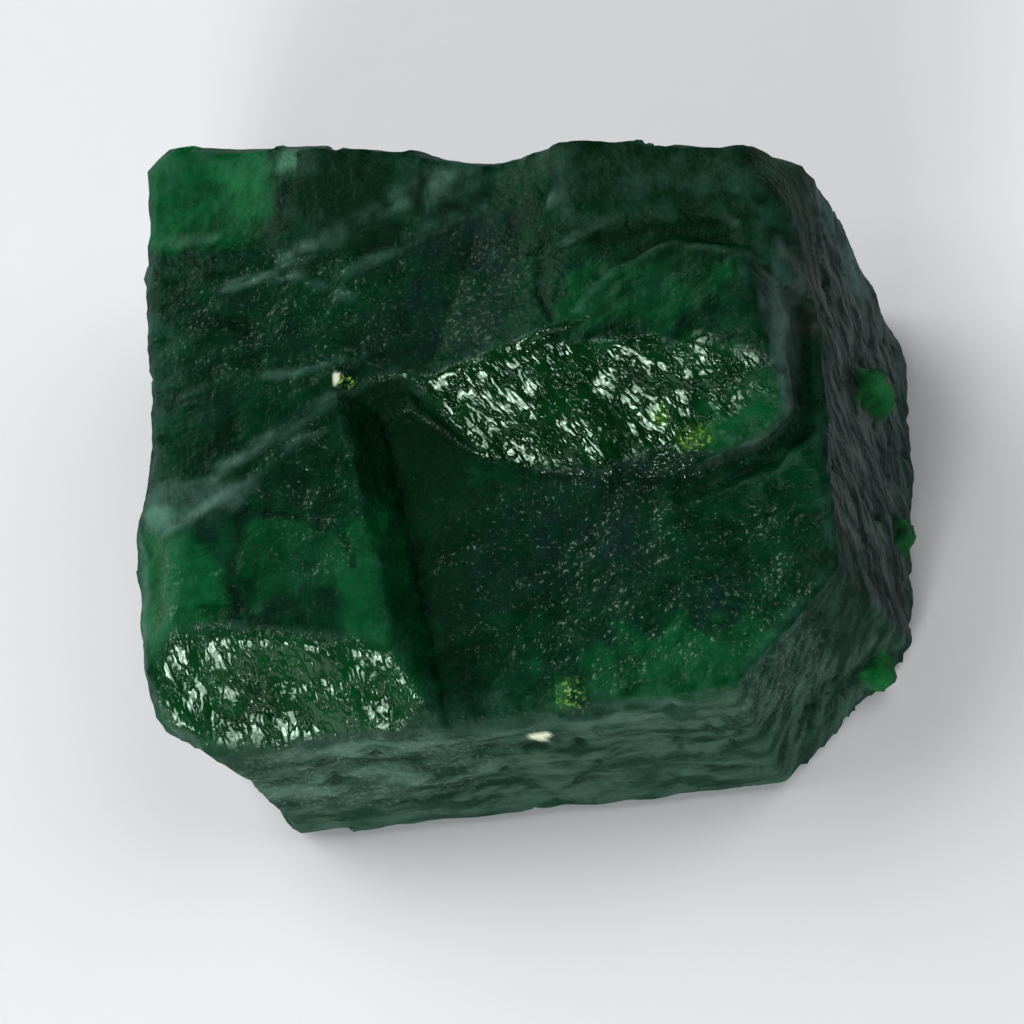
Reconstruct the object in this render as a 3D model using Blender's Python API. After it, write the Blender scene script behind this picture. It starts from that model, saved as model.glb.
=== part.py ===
"""Raw emerald: one blocky, worn chunk of beryl, broken on all sides and dusty on its walls.

The chunk is one solid. It is built the way it broke: a few flat-topped blocks are each cut
out by their fracture faces and joined, the whole is trimmed by the outer walls, curved
flakes are struck off it, and its skin is then roughened with lumps and layer ledges.
Its base is one flat face, and the origin is at the centre of the bounding box on that face.
"""

from math import cos, radians, sin

import bmesh
import bpy
import numpy as np
from mathutils import Matrix, Vector

# ---------------------------------------------------------------- driving dimensions, in mm and degrees

MM = 0.001

# A face is given by a point on it (x, y, z), the way it looks (0 is +X, 90 is +Y) and its dip,
# where 0 is a level top, 90 an upright wall and 180 an underside. These are shared by several blocks.
SLAB_TOP = (-7.9, 3.8, 10.35, -69, 4.6)
VALLEY_FLOOR = (-2.7, 6.4, 10.1, -18, 9.3)
VALLEY_WEST_FACE = (0.5, 5.6, 10.3, 162, 17)
SCARP = (2.0, 0.8, 9.0, -94, 43)
RECESS_BACK = (-3.5, 2.0, 9.9, -76, 66)
RECESS_SIDE = (-2.6, 1.7, 9.8, -126, 75)
LEFT_EDGE = (-11.05, 3.0, 9.5, 182, 93)
RAMP_FRONT = (-6.8, -7.15, 7.5, -90, 45)
RAMP_FLANK = (-3.5, -3.3, 8.6, 7, 54)

OUTER_WALLS = {
    "right": (10.67, 0.0, 4.0, 0, 77),
    "back_right_corner": (10.30, 7.00, 0.0, 35, 93),
    "back": (0.0, 9.22, 9.5, 84, 95),
    "back_left_corner": (-11.15, 9.55, 9.0, 135, 92),
    "left": (-11.58, -5.0, 7.8, 185, 97),
    "front_left_undercut": (-10.03, -9.54, 3.6, 228, 111),
    "front_left": (-7.5, -8.95, 4.4, -89, 77),
    "front": (0.9, -8.55, 3.3, -87, 81),
    "front_right": (9.85, -6.15, 0.0, -44, 79),
}

BLOCKS = {
    "basin": [(4.6, -4.3, 7.1, -115, 7.8), LEFT_EDGE],
    "basin_left": [(-1.2, -3.3, 7.3, -63, 13.8), (-4.6, -5.0, 7.5, 180, 85)],
    "slab_back": [SLAB_TOP, VALLEY_FLOOR, RECESS_BACK, LEFT_EDGE],
    "slab": [SLAB_TOP, VALLEY_FLOOR, SCARP, RECESS_SIDE, LEFT_EDGE],
    "front_ramp": [
        SLAB_TOP,
        (-7.85, -0.25, 10.04, -60, 13),
        RAMP_FRONT,
        RAMP_FLANK,
        (-4.2, 0.2, 9.2, -1, 54),
        (-11.3, -1.5, 9.2, 172, 72),
        (-11.1, -4.5, 9.0, 195, 50),
    ],
    "right_block": [
        (5.25, 3.4, 10.85, -107, 11.4),
        SCARP,
        RECESS_SIDE,
        VALLEY_WEST_FACE,
        (4.5, 4.85, 11.1, 120, 45),
        (6.9, 4.95, 11.1, 72, 45),
        (8.3, 3.5, 10.4, -1, 60),
        (8.8, 3.5, 9.6, -1, 85),
        (8.2, -0.28, 7.65, -66, 78),
    ],
    "terrace": [
        (5.0, 5.4, 10.85, -95, 2),
        SCARP,
        RECESS_SIDE,
        VALLEY_WEST_FACE,
        (8.55, 5.6, 10.7, 8, 60),
        (8.6, 4.3, 10.0, -75, 60),
    ],
    "back_rim": [
        (4.8, 7.5, 11.45, 85, 2.6),
        (4.8, 6.3, 11.3, -86, 42),
        (1.8, 7.6, 11.0, 185, 45),
        (8.2, 7.3, 11.2, 19, 50),
    ],
    "right_shoulder": [(9.3, -0.3, 8.1, -88, 14), (9.0, 0.0, 8.1, 180, 70)],
}

# Curved flakes struck off: the middle of the scar, the way it looks, its dip, its width and its depth.
FLAKES = {
    "corner_flake": (-9.0, 7.5, 10.5, 95, 4, 4.4, 0.16),
    "scarp_flake": (6.4, 0.6, 9.3, -80, 42, 4.6, 0.3),
    "valley_flake": (-0.6, 9.45, 9.9, 85, 60, 4.4, 0.5),
    "cheek_flake": (-11.2, -3.6, 8.8, 190, 45, 3.4, 0.3),
    "undercut_scoop": (-9.6, -8.3, 3.4, 222, 100, 5.0, 0.35),
}

# Worn grooves at the foot of the right block: the two ends of each, as (x, y, z), and half its width.
GROOVES = {
    "groove_under_block": ((5.2, -1.50, 7.75), (8.0, -0.62, 7.95), 0.5),
    "groove_at_corner": ((8.0, -0.62, 7.95), (9.15, 0.3, 8.2), 0.5),
    "groove_beside_block": ((9.15, 0.3, 8.2), (9.3, 3.4, 8.95), 0.42),
}

# Small grains grown on the right wall: position, the way each looks, its dip, its length and its width.
GRAINS = {
    "upper_grain": (10.66, 2.8, 4.05, 0, 77, 1.9, 1.0),
    "middle_grain": (11.20, -1.1, 1.7, 0, 77, 1.2, 0.85),
    "lower_grain": (10.48, -5.45, 1.0, -24, 78, 1.1, 1.0),
}

UNCUT_BLOCK = 60          # side of the cube that each block is cut from
FLAKE_DETAIL, GROOVE_DETAIL, GRAIN_DETAIL = 4, 3, 2
SKIN_GRID = 0.36          # spacing of the points that the skin's relief is worked out on
SKIN_TRIANGLES = 8000     # what is kept of them, closer along edges than on flats
SHORTEST_EDGE = 0.03      # shorter ones, left where a grain meets the wall, are closed up
BASE_MARGIN = 1.5         # stone kept below the base until the base is cut flat
LUMP_SIZE, LUMP_HEIGHT = 4.2, 0.24
DENT_SIZE, DENT_HEIGHT = 1.9, 0.16
LAYER_FACING = (90, 132)  # the growth layers are level on the front wall and slant down the right one
LAYER_THICKNESS, LAYER_HEIGHT, LAYER_STRETCH = 0.8, 0.12, 0.22
LEDGE_FADE = 1.6          # how fast the ledges die away as a wall leans back
WANDER_SIZE, WANDER = 2.9, 0.6
NOISE_SEED = 7
FINER_SHIFT = 17.3        # moves each finer layer of noise to another part of it
WANDER_PARTS = (5, 31, 57)
LUMP_PART, DENT_PART, LEDGE_PART = 3, 40, 11


# ---------------------------------------------------------------- faces and blocks


def facing(toward, dip):
    """The unit vector that looks toward a compass direction, dip degrees down from straight up."""
    around, down = radians(toward), radians(dip)
    return Vector((sin(down) * cos(around), sin(down) * sin(around), cos(down)))


def cut_block(faces):
    """A closed convex block: a large cube with everything outside each of the faces cut away."""
    block = bmesh.new()
    bmesh.ops.create_cube(block, size=UNCUT_BLOCK)
    floor = (0, 0, -BASE_MARGIN, 0, 180)
    for x, y, z, toward, dip in [*faces, floor]:
        cut = bmesh.ops.bisect_plane(
            block,
            geom=block.verts[:] + block.edges[:] + block.faces[:],
            plane_co=(x, y, z),
            plane_no=facing(toward, dip),
            clear_outer=True,
        )
        rim = [edge for edge in cut["geom_cut"] if isinstance(edge, bmesh.types.BMEdge)]
        bmesh.ops.contextual_create(block, geom=rim)
    bmesh.ops.recalc_face_normals(block, faces=block.faces[:])
    return block


def as_object(name, shape):
    mesh = bpy.data.meshes.new(name)
    shape.to_mesh(mesh)
    shape.free()
    made = bpy.data.objects.new(name, mesh)
    bpy.context.scene.collection.objects.link(made)
    return made


def apply_modifiers(body):
    """Keeps the body's mesh as its modifiers leave it."""
    view = bpy.context.evaluated_depsgraph_get()
    finished = bpy.data.meshes.new_from_object(body.evaluated_get(view))
    body.modifiers.clear()
    body.data = finished


def combine(body, other, operation):
    """Adds the other solid to the body, takes it away or keeps what both share.

    Some blocks share a face, which the exact solver leaves open and the manifold one closes.
    """
    cut = body.modifiers.new(other.name, "BOOLEAN")
    cut.operation = operation
    cut.solver = "MANIFOLD"
    cut.object = other
    apply_modifiers(body)
    bpy.data.objects.remove(other)


def flake_cutter(x, y, z, toward, dip, width, depth):
    """A ball that dips into the face by the depth and leaves a round scar of the width."""
    radius = (width * width / 4 + depth * depth) / (2 * depth)
    centre = Vector((x, y, z)) + facing(toward, dip) * (radius - depth)
    ball = bmesh.new()
    bmesh.ops.create_icosphere(ball, subdivisions=FLAKE_DETAIL, radius=radius, matrix=Matrix.Translation(centre))
    return ball


def groove_cutter(start, end, half_width):
    """A bar with round ends that lies along the groove."""
    bar = bmesh.new()
    for place in (start, end):
        bmesh.ops.create_icosphere(bar, subdivisions=GROOVE_DETAIL, radius=half_width, matrix=Matrix.Translation(place))
    bmesh.ops.delete(bar, geom=bar.edges[:], context="EDGES_FACES")
    hull = bmesh.ops.convex_hull(bar, input=bar.verts[:])
    inside = [item for item in hull["geom_interior"] if isinstance(item, bmesh.types.BMVert)]
    bmesh.ops.delete(bar, geom=inside, context="VERTS")
    return bar


def grain(x, y, z, toward, dip, length, width):
    """A small broken crystal: a stubby block with its corners worn, sunk halfway into the wall."""
    lump = bmesh.new()
    turn = facing(toward, dip).to_track_quat("Z", "Y").to_matrix().to_4x4()
    size = Matrix.Diagonal((width, length, width, 1))
    bmesh.ops.create_icosphere(
        lump, subdivisions=GRAIN_DETAIL, radius=0.5, matrix=Matrix.Translation((x, y, z)) @ turn @ size
    )
    return lump


# ---------------------------------------------------------------- the skin


def lattice_noise(points, seed=NOISE_SEED):
    """Smooth noise from about -0.7 to 0.7: random slopes at whole-number points, blended between them."""
    draw = np.random.RandomState(seed)
    order = draw.permutation(256)
    slopes = draw.normal(size=(256, 3))
    slopes /= np.linalg.norm(slopes, axis=1, keepdims=True)
    cell = np.floor(points).astype(int)
    inside = points - cell
    ease = inside**3 * (inside * (inside * 6 - 15) + 10)
    total = np.zeros(len(points))
    for corner in np.ndindex(2, 2, 2):
        pick = 0
        for axis in range(3):
            pick = order[(pick + cell[:, axis] + corner[axis]) % 256]
        rise = ((inside - corner) * slopes[pick]).sum(1)
        share = np.where(corner, ease, 1 - ease).prod(1)
        total += rise * share
    return total


def rough_noise(points, layers):
    """Noise with finer noise on top, each layer half as wide and half as high as the one before."""
    return sum(lattice_noise(points * 2**k + FINER_SHIFT * k) / 2**k for k in range(layers))


def skin_height(points, normals):
    """How far the skin stands out, in mm: broad lumps, dents, and on steep faces the ledges of its layers."""
    wander = [lattice_noise(points / WANDER_SIZE + part) for part in WANDER_PARTS]
    bent = points + WANDER * np.stack(wander, axis=1)
    steep = np.clip(1 - LEDGE_FADE * np.abs(normals[:, 2]), 0, 1)
    lumps = LUMP_HEIGHT * lattice_noise(bent / LUMP_SIZE + LUMP_PART)
    dents = DENT_HEIGHT * rough_noise(bent / DENT_SIZE + DENT_PART, 2)
    through = np.array(facing(*LAYER_FACING))
    layered = LAYER_STRETCH * bent + (1 - LAYER_STRETCH) * np.outer(bent @ through, through)
    ledges = LAYER_HEIGHT * steep * rough_noise(layered / LAYER_THICKNESS + LEDGE_PART, 2)
    return lumps + dents + ledges


def roughen(body):
    """Gives the body an even grid of small faces and moves each corner out by the skin's height."""
    grid = body.modifiers.new("even grid", "REMESH")
    grid.mode = "VOXEL"
    grid.voxel_size = SKIN_GRID
    apply_modifiers(body)
    mesh = body.data
    points = np.empty(len(mesh.vertices) * 3)
    normals = np.empty(len(mesh.vertices) * 3)
    mesh.vertices.foreach_get("co", points)
    mesh.vertex_normals.foreach_get("vector", normals)
    points, normals = points.reshape(-1, 3), normals.reshape(-1, 3)
    points += normals * skin_height(points, normals)[:, None]
    mesh.vertices.foreach_set("co", points.ravel())
    mesh.update()
    thin = body.modifiers.new("fewer faces", "DECIMATE")
    thin.ratio = SKIN_TRIANGLES / (2 * len(mesh.polygons))
    apply_modifiers(body)


def cut_base(body):
    """Cuts the stone flat at z = 0 and closes it with one face."""
    shape = bmesh.new()
    shape.from_mesh(body.data)
    cut = bmesh.ops.bisect_plane(
        shape,
        geom=shape.verts[:] + shape.edges[:] + shape.faces[:],
        plane_co=(0, 0, 0),
        plane_no=(0, 0, -1),
        clear_outer=True,
    )
    rim = [edge for edge in cut["geom_cut"] if isinstance(edge, bmesh.types.BMEdge)]
    bmesh.ops.contextual_create(shape, geom=rim)
    bmesh.ops.dissolve_degenerate(shape, edges=shape.edges[:], dist=SHORTEST_EDGE)
    bmesh.ops.recalc_face_normals(shape, faces=shape.faces[:])
    shape.to_mesh(body.data)
    shape.free()


def seat(body):
    """Puts the centre of the bounding box, at the base, on the origin, and turns mm into metres."""
    points = np.array([vertex.co for vertex in body.data.vertices])
    middle = (points.min(0) + points.max(0)) / 2
    body.data.transform(Matrix.Scale(MM, 4) @ Matrix.Translation((-middle[0], -middle[1], 0)))
    body.data.update()


# ---------------------------------------------------------------- the stone


def rough_beryl():
    """Rough emerald: very dark green, matt where it is dusty and glassy where it is fresh."""
    stone = bpy.data.materials.new("rough_beryl")
    stone.use_nodes = True
    surface = stone.node_tree.nodes["Principled BSDF"]
    surface.inputs["Base Color"].default_value = (0.016, 0.075, 0.038, 1)
    surface.inputs["Roughness"].default_value = 0.42
    surface.inputs["Metallic"].default_value = 0
    stone.diffuse_color = (0.06, 0.26, 0.14, 1)
    return stone


def emerald_crystal():
    blocks = [as_object(name, cut_block(faces)) for name, faces in BLOCKS.items()]
    body = blocks.pop(0)
    body.name = "emerald_crystal"
    for block in blocks:
        combine(body, block, "UNION")
    combine(body, as_object("outer_walls", cut_block(OUTER_WALLS.values())), "INTERSECT")
    for name, flake in FLAKES.items():
        combine(body, as_object(name, flake_cutter(*flake)), "DIFFERENCE")
    for name, groove in GROOVES.items():
        combine(body, as_object(name, groove_cutter(*groove)), "DIFFERENCE")
    roughen(body)
    for name, size in GRAINS.items():
        combine(body, as_object(name, grain(*size)), "UNION")
    cut_base(body)
    seat(body)
    body.data.materials.append(rough_beryl())
    return body


for old in list(bpy.data.objects):
    bpy.data.objects.remove(old)
emerald_crystal()
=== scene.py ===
"""Raw emerald: one worn, blocky chunk of beryl lying on a pale sheet, lit by soft daylight."""

from math import cos, radians, sin

import bpy
import numpy as np
from mathutils import Matrix, Vector


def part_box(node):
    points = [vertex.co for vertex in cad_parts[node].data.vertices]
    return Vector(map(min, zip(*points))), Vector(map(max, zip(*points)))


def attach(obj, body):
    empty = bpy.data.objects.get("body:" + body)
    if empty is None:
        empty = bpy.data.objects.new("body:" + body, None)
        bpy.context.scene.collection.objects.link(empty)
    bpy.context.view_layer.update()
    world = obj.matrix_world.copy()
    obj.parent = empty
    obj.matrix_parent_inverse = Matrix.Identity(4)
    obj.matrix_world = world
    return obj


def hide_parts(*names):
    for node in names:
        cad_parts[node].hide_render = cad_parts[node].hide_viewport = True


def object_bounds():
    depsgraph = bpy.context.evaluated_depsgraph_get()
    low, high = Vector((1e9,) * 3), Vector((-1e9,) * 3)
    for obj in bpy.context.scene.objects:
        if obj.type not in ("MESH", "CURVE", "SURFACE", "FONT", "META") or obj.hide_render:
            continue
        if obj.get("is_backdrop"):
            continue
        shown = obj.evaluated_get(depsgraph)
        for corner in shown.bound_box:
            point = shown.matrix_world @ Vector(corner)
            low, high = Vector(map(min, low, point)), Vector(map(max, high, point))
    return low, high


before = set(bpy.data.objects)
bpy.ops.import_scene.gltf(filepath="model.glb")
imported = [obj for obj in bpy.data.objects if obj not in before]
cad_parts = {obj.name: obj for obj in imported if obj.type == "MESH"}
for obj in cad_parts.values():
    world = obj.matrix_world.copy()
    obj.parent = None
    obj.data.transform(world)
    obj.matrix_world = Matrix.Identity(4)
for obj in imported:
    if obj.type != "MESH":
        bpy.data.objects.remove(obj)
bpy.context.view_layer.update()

# ---------------------------------------------------------------- the stone's broken faces
# The stone grew as one piece and broke on all sides. Its mass is a few flat-topped blocks side by side,
# each bounded by its fracture faces, all trimmed by the outer walls. Curved flakes were struck off it,
# and small grains of emerald are grown onto its right wall. All of this is in mm and degrees.

MM = 0.001  # metres
# A face is a point on it (x, y, z), the way it looks (0 is +X, 90 is +Y) and its dip:
# 0 is a level top, 90 an upright wall and 180 an underside.
SLAB_TOP = (-7.9, 3.8, 10.35, -69, 4.6)
VALLEY_FLOOR = (-2.7, 6.4, 10.1, -18, 9.3)
VALLEY_WEST_FACE = (0.5, 5.6, 10.3, 162, 17)
SCARP = (2.0, 0.8, 9.0, -94, 43)
RECESS_BACK = (-3.5, 2.0, 9.9, -76, 66)
RECESS_SIDE = (-2.6, 1.7, 9.8, -126, 75)
LEFT_EDGE = (-11.05, 3.0, 9.5, 182, 93)
RAMP_FRONT = (-6.8, -7.15, 7.5, -90, 45)
RAMP_FLANK = (-3.5, -3.3, 8.6, 7, 54)
OUTER_WALLS = {
    "base": (0, 0, 0, 0, 180),
    "right": (10.67, 0.0, 4.0, 0, 77),
    "back_right_corner": (10.30, 7.00, 0.0, 35, 93),
    "back": (0.0, 9.22, 9.5, 84, 95),
    "back_left_corner": (-11.15, 9.55, 9.0, 135, 92),
    "left": (-11.58, -5.0, 7.8, 185, 97),
    "front_left_undercut": (-10.03, -9.54, 3.6, 228, 111),
    "front_left": (-7.5, -8.95, 4.4, -89, 77),
    "front": (0.9, -8.55, 3.3, -87, 81),
    "front_right": (9.85, -6.15, 0.0, -44, 79),
}
BLOCKS = {
    "basin": [(4.6, -4.3, 7.1, -115, 7.8), LEFT_EDGE],
    "basin_left": [(-1.2, -3.3, 7.3, -63, 13.8), (-4.6, -5.0, 7.5, 180, 85)],
    "slab_back": [SLAB_TOP, VALLEY_FLOOR, RECESS_BACK, LEFT_EDGE],
    "slab": [SLAB_TOP, VALLEY_FLOOR, SCARP, RECESS_SIDE, LEFT_EDGE],
    "front_ramp": [
        SLAB_TOP,
        (-7.85, -0.25, 10.04, -60, 13),
        RAMP_FRONT,
        RAMP_FLANK,
        (-4.2, 0.2, 9.2, -1, 54),
        (-11.3, -1.5, 9.2, 172, 72),
        (-11.1, -4.5, 9.0, 195, 50),
    ],
    "right_block": [
        (5.25, 3.4, 10.85, -107, 11.4),
        SCARP,
        RECESS_SIDE,
        VALLEY_WEST_FACE,
        (4.5, 4.85, 11.1, 120, 45),
        (6.9, 4.95, 11.1, 72, 45),
        (8.3, 3.5, 10.4, -1, 60),
        (8.8, 3.5, 9.6, -1, 85),
        (8.2, -0.28, 7.65, -66, 78),
    ],
    "terrace": [
        (5.0, 5.4, 10.85, -95, 2),
        SCARP,
        RECESS_SIDE,
        VALLEY_WEST_FACE,
        (8.55, 5.6, 10.7, 8, 60),
        (8.6, 4.3, 10.0, -75, 60),
    ],
    "back_rim": [
        (4.8, 7.5, 11.45, 85, 2.6),
        (4.8, 6.3, 11.3, -86, 42),
        (1.8, 7.6, 11.0, 185, 45),
        (8.2, 7.3, 11.2, 19, 50),
    ],
    "right_shoulder": [(9.3, -0.3, 8.1, -88, 14), (9.0, 0.0, 8.1, 180, 70)],
}
# The middle of each scar, the way it looks, its dip, its width and its depth.
FLAKES = {
    "corner_flake": (-9.0, 7.5, 10.5, 95, 4, 4.4, 0.16),
    "scarp_flake": (6.4, 0.6, 9.3, -80, 42, 4.6, 0.3),
    "valley_flake": (-0.6, 9.45, 9.9, 85, 60, 4.4, 0.5),
    "cheek_flake": (-11.2, -3.6, 8.8, 190, 45, 3.4, 0.3),
    "undercut_scoop": (-9.6, -8.3, 3.4, 222, 100, 5.0, 0.35),
}
# The two ends of each groove, as (x, y, z), and half its width.
GROOVES = {
    "groove_under_block": ((5.2, -1.50, 7.75), (8.0, -0.62, 7.95), 0.5),
    "groove_at_corner": ((8.0, -0.62, 7.95), (9.15, 0.3, 8.2), 0.5),
    "groove_beside_block": ((9.15, 0.3, 8.2), (9.3, 3.4, 8.95), 0.42),
}
# The middle of each grain, the way it looks, its dip, its length and its width.
GRAINS = {
    "upper_grain": (10.66, 2.8, 4.05, 0, 77, 1.9, 1.0),
    "middle_grain": (11.20, -1.1, 1.7, 0, 77, 1.2, 0.85),
    "lower_grain": (10.48, -5.45, 1.0, -24, 78, 1.1, 1.0),
}
EDGE_WEAR = 0.14  # how far a broken edge is rounded
GRAIN_FILLET = 0.06  # how far the crease round a grain is filled
GRAIN_WEAR = 0.12  # how far a grain's own edges are rounded
# A grain is a six-sided prism: how far across and out its slanting sides look, and how far along and
# out its two slanted ends look.
GRAIN_SIDE = (0.87, 0.5)
GRAIN_ENDS = ((0.94, 0.34), (-0.9, 0.43))


def facing(toward, dip):
    """The unit vector that looks toward a compass direction, dip degrees down from straight up."""
    around, down = radians(toward), radians(dip)
    return np.array([sin(down) * cos(around), sin(down) * sin(around), cos(down)])


def round_max(a, b, width):
    """The larger of a and b. Where they are nearer than the width, a small parabola rounds the corner."""
    near = np.maximum(width - np.abs(a - b), 0) / width
    return np.maximum(a, b) + near * near * width / 4


def outside_of(points, faces, width):
    """Distance outside a convex block: the largest of the distances in front of its faces."""
    total = None
    for x, y, z, toward, dip in faces:
        normal = facing(toward, dip)
        gap = points @ normal - normal @ (x, y, z)
        total = gap if total is None else round_max(total, gap, width)
    return total


def outside_of_stone(points):
    """Distance outside the stone: blocks joined, trimmed by the walls, less the flakes, plus the grains."""
    total = None
    for faces in BLOCKS.values():
        gap = outside_of(points, faces, EDGE_WEAR)
        total = gap if total is None else np.minimum(total, gap)
    total = round_max(total, outside_of(points, OUTER_WALLS.values(), EDGE_WEAR), EDGE_WEAR)
    for x, y, z, toward, dip, width, depth in FLAKES.values():
        # A flake's scar is the cap of a sphere, whose radius follows from the cap's width and depth.
        radius = (width * width / 4 + depth * depth) / (2 * depth)
        centre = facing(toward, dip) * (radius - depth) + (x, y, z)
        total = round_max(total, radius - np.linalg.norm(points - centre, axis=1), EDGE_WEAR)
    for start, end, half_width in GROOVES.values():
        line = np.subtract(end, start)
        along = np.clip((points - start) @ line / (line @ line), 0, 1)
        near = np.linalg.norm(points - start - along[:, None] * line, axis=1)
        total = round_max(total, half_width - near, EDGE_WEAR)
    for grain in GRAINS.values():
        total = -round_max(-total, -outside_of_grain(points, *grain), GRAIN_FILLET)
    return total


def outside_of_grain(points, x, y, z, toward, dip, length, width):
    """Distance outside a stubby six-sided crystal with a slanted end, lying half sunk in the wall."""
    out = facing(toward, dip)
    along = facing(toward, dip - 90)
    across = np.cross(out, along)
    offset = points - (x, y, z)
    a, b, c = offset @ along, offset @ across, offset @ out
    wide, high = GRAIN_SIDE
    sides = [np.abs(wide * b + high * c), np.abs(wide * b - high * c), np.abs(c)]
    ends = [far * a + raised * c + width / 2 - length / 2 for far, raised in GRAIN_ENDS]
    total = sides[0]
    for side in [*sides[1:], *ends]:
        total = round_max(total, side, GRAIN_WEAR)
    return total - width / 2


# ---------------------------------------------------------------- the stone's skin as a mesh
# Two grids cover the stone: the crown, seen from above, and the skirt, which runs round the walls and
# under the base to a pole. Each grid point is sent out from a box inside the stone and stops at the skin.

CORE_LOW, CORE_HIGH = np.array([-8.2, -5.2, 2.0]), np.array([8.2, 6.0, 4.6])
CORE_SHARE = 0.82  # the part of each side of the grid that runs straight out of the box's face
ACROSS, ALONG, DOWN = 204, 172, 62  # cells of the crown along X and Y, and rings of the skirt
UNDER_RINGS = (0.95, 0.88, 0.78, 0.6, 0.4, 0.2)  # the rings under the base, as shares of its half width
REACH = 14.0  # how far out a point starts, beyond any part of the stone
STEPS_IN, STEP_SHARE = 45, 0.9  # from there it steps inwards, each time by this share of its gap
EVEN_ROUNDS, EVEN_SHARE = 14, 0.5  # how often the points slide apart, and what share of the way


def skin_grid():
    """Grid points on a cube from -1 to 1: rows of the crown, then rings of the skirt, then the pole."""
    s, t = np.meshgrid(np.linspace(-1, 1, ACROSS + 1), np.linspace(-1, 1, ALONG + 1), indexing="ij")
    crown = np.stack([s, t, np.ones_like(s)], axis=-1)
    number = np.arange(s.size).reshape(s.shape)
    rim = np.concatenate([number[:-1, 0], number[-1, :-1], number[:0:-1, -1], number[0, :0:-1]])
    edge = crown.reshape(-1, 3)[rim]
    depth = 1 - 2 * np.arange(1, DOWN + 1)[:, None, None] / DOWN
    skirt = np.broadcast_to(edge, (DOWN, *edge.shape)).copy()
    skirt[..., 2:] = depth
    under = edge * np.array([1, 1, -1]) * np.array([[r, r, 1] for r in UNDER_RINGS])[:, None, :]
    points = np.concatenate([crown.reshape(-1, 3), skirt.reshape(-1, 3), under.reshape(-1, 3), [[0, 0, -1]]])

    rings = np.arange(len(points) - 1 - s.size).reshape(-1, len(rim)) + s.size
    rings = np.concatenate([rim[None], rings])
    nxt = np.roll(rings, -1, axis=1)
    crown_faces = np.stack([number[:-1, :-1], number[1:, :-1], number[1:, 1:], number[:-1, 1:]], axis=-1)
    skirt_faces = np.stack([rings[:-1], rings[1:], nxt[1:], nxt[:-1]], axis=-1)
    quads = np.concatenate([crown_faces.reshape(-1, 4), skirt_faces.reshape(-1, 4)])
    pole = np.full(len(rim), len(points) - 1)
    fans = np.stack([rings[-1], pole, nxt[-1]], axis=-1)
    return points, quads, fans


def send_out(cube_points):
    """Moves each point of the cube's grid from the core box straight or slanting out to the stone's skin."""
    centre, half = (CORE_LOW + CORE_HIGH) / 2, (CORE_HIGH - CORE_LOW) / 2
    held = np.clip(cube_points, -CORE_SHARE, CORE_SHARE)
    start = centre + half * held / CORE_SHARE
    way = cube_points - held
    way /= np.linalg.norm(way, axis=1, keepdims=True)
    far = np.full(len(start), REACH)
    for _ in range(STEPS_IN):
        far -= STEP_SHARE * outside_of_stone(start + far[:, None] * way)
    return start + far[:, None] * way


def corner_normals(points, quads, fans):
    """The average direction of the faces round each point."""
    normals = np.zeros_like(points)
    for faces in (quads, fans):
        a, b, c = points[faces[:, 0]], points[faces[:, 1]], points[faces[:, 2]]
        d = points[faces[:, -1]]
        out = np.cross(c - a, d - b) if faces.shape[1] == 4 else np.cross(b - a, c - a)
        for corner in faces.T:
            for axis in range(3):
                normals[:, axis] += np.bincount(corner, out[:, axis], len(points))
    return normals / np.linalg.norm(normals, axis=1, keepdims=True)


def neighbour_mean(values, pairs):
    """The average of a value over the points joined to each point by an edge."""
    count = np.bincount(pairs[:, 0], minlength=len(values))
    sums = [np.bincount(pairs[:, 0], column[pairs[:, 1]], len(values)) for column in values.T]
    return np.stack(sums, axis=1) / count[:, None]


def steepest(points, step=0.01):
    """The way straight out of the stone at each point, from how its distance changes along each axis."""
    here = outside_of_stone(points)
    rise = [outside_of_stone(points + step * axis) - here for axis in np.eye(3)]
    out = np.stack(rise, axis=1)
    return out / np.linalg.norm(out, axis=1, keepdims=True), here


def spread_evenly(points, pairs):
    """Slides the points along the skin towards the middle of their neighbours, and back onto the skin."""
    for _ in range(EVEN_ROUNDS):
        out, gap = steepest(points)
        slide = neighbour_mean(points, pairs) - points
        slide -= (slide * out).sum(1, keepdims=True) * out
        points = points + EVEN_SHARE * slide - out * gap[:, None]
    return points


def edges_of(*face_lists):
    """Every edge of the faces, both ways round."""
    sides = [faces[:, [i, (i + 1) % faces.shape[1]]] for faces in face_lists for i in range(faces.shape[1])]
    one_way = np.concatenate(sides)
    return np.concatenate([one_way, one_way[:, ::-1]])


cube_points, quads, fans = skin_grid()
pairs = edges_of(quads, fans)
skin = spread_evenly(send_out(cube_points), pairs)
normals = corner_normals(skin, quads, fans)

# ---------------------------------------------------------------- the stone's relief
# The broken faces are not flat: the stone is lumpy and dented, its walls show the thin layers it grew in,
# and its fresh faces broke like crumpled foil. All of it is raised on the skin, in mm.

# Each pattern's width and how high it stands.
LUMP_SIZE, LUMP_HEIGHT = 4.2, 0.24
DENT_SIZE, DENT_HEIGHT = 1.9, 0.16
WANDER_SIZE, WANDER = 2.9, 0.6
FRESH_SIZE, SCARP_HEIGHT, FRONT_HEIGHT = 1.5, 0.36, 0.60
FOLD_SIZE, FOLD_SHARE = 0.8, 0.2
BULGE_SIZE, BULGE_HEIGHT = 1.5, 0.20
BUMP_SIZE, BUMP_HEIGHT = 0.9, 0.10
PIT_SIZE, PIT_DEPTH = 0.7, 0.12
STEP_SIZE, STEP_HEIGHT, STEPS_ACROSS = 3.1, 0.2, 2.6
DRAPE_SIZE, DRAPE_HEIGHT = 1.3, 0.25
BREAK_SIZE, RIDGE_HEIGHT, CRACK_DEPTH, CRACK_REACH = 0.5, 0.08, 0.10, 0.22
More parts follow.
